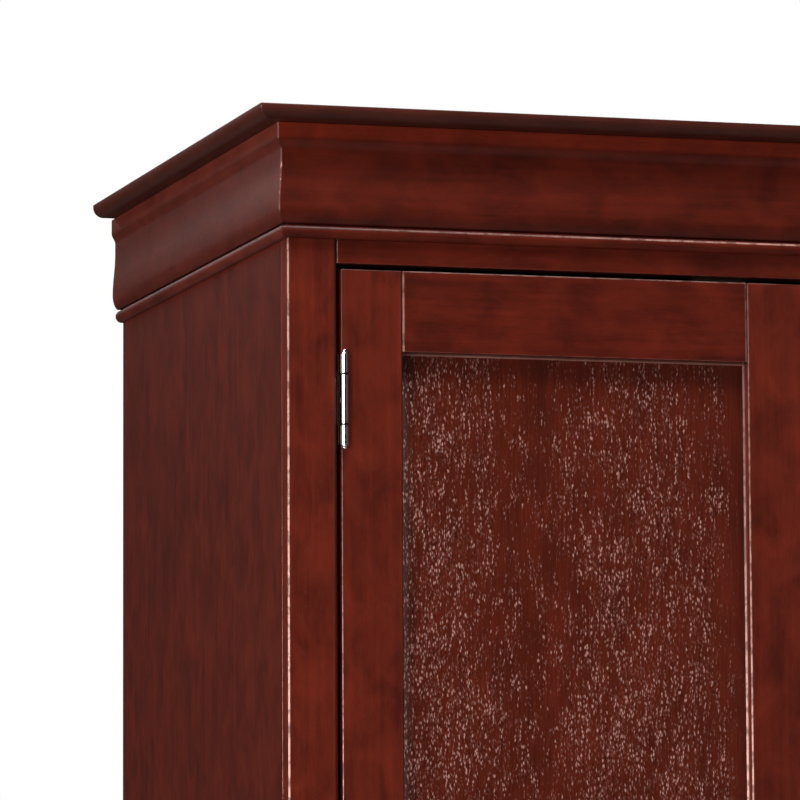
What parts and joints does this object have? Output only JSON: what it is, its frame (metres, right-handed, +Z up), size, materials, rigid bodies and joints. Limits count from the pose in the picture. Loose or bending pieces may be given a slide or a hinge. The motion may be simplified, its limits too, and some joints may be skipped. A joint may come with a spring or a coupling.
{
  "type": "armoire",
  "caption": "Two-door armoire over two drawers, with a moulded cornice under a wide top board, framed flat door panels and a bracket base.",
  "frame": {"origin": "on the floor, at the centre of the top board's outline seen from above", "axes": "+Z up, the doors and drawers face -Y, +X to the right when facing them"},
  "size_m": [0.982, 0.611, 1.8],
  "materials": {
    "frame_wood": "satin",
    "side_veneer": "satin",
    "panel_veneer": "satin",
    "interior_board": "matte",
    "drawer_wood": "matte",
    "hinge_nickel": "polished",
    "knob_nickel": "satin",
    "fitting_steel": "satin",
    "catch_plastic": "matte",
    "glide_nylon": "satin"
  },
  "bodies": {
    "carcase": {"base_front": "frame_wood", "base_left": "frame_wood", "base_right": "frame_wood", "base_back": "interior_board", "base_moulding": "frame_wood", "base_blocks": "interior_board", "foot_glides": "glide_nylon", "left_side": "side_veneer", "right_side": "side_veneer", "left_stile": "frame_wood", "right_stile": "frame_wood", "top_rail": "frame_wood", "middle_rail": "frame_wood", "drawer_rail": "frame_wood", "bottom_rail": "frame_wood", "back_panel": "interior_board", "inner_top": "interior_board", "wardrobe_floor": "interior_board", "bottom_board": "interior_board", "drawer_runners": "drawer_wood", "upper_shelf": "interior_board", "shelf_pins": "fitting_steel", "hanging_rod": "fitting_steel", "rod_sockets": "fitting_steel", "top_board": "frame_wood", "cornice_front": "frame_wood", "cornice_left": "frame_wood", "cornice_right": "frame_wood", "cornice_bead": "frame_wood", "frame_hinge_leaves": "hinge_nickel", "hinge_pins": "hinge_nickel", "door_catches": "catch_plastic"},
    "left_door": {"left_door_hinge_stile": "frame_wood", "left_door_meeting_stile": "frame_wood", "left_door_top_rail": "frame_wood", "left_door_bottom_rail": "frame_wood", "left_door_panel": "panel_veneer", "left_door_knob": "knob_nickel", "left_door_hinge_leaves": "hinge_nickel", "left_door_strike": "fitting_steel"},
    "right_door": {"right_door_hinge_stile": "frame_wood", "right_door_meeting_stile": "frame_wood", "right_door_top_rail": "frame_wood", "right_door_bottom_rail": "frame_wood", "right_door_panel": "panel_veneer", "right_door_knob": "knob_nickel", "right_door_hinge_leaves": "hinge_nickel", "right_door_strike": "fitting_steel"},
    "upper_drawer": {"upper_drawer_front": "frame_wood", "upper_drawer_left_side": "drawer_wood", "upper_drawer_right_side": "drawer_wood", "upper_drawer_back": "drawer_wood", "upper_drawer_bottom": "interior_board", "upper_drawer_knobs": "knob_nickel"},
    "lower_drawer": {"lower_drawer_front": "frame_wood", "lower_drawer_left_side": "drawer_wood", "lower_drawer_right_side": "drawer_wood", "lower_drawer_back": "drawer_wood", "lower_drawer_bottom": "interior_board", "lower_drawer_knobs": "knob_nickel"}
  },
  "joints": [
    {"name": "left_door_hinge", "type": "hinge", "parent": "carcase", "child": "left_door", "pos_m": [-0.41165, -0.278, 1.108], "axis": [0, 0, -1], "range_deg": [0, 170]},
    {"name": "right_door_hinge", "type": "hinge", "parent": "carcase", "child": "right_door", "pos_m": [0.41165, -0.278, 1.108], "axis": [0, 0, 1], "range_deg": [0, 170]},
    {"name": "upper_drawer_slide", "type": "slide", "parent": "carcase", "child": "upper_drawer", "axis": [0, -1, 0], "range_m": [0, 0.35]},
    {"name": "lower_drawer_slide", "type": "slide", "parent": "carcase", "child": "lower_drawer", "axis": [0, -1, 0], "range_m": [0, 0.35]}
  ]
}
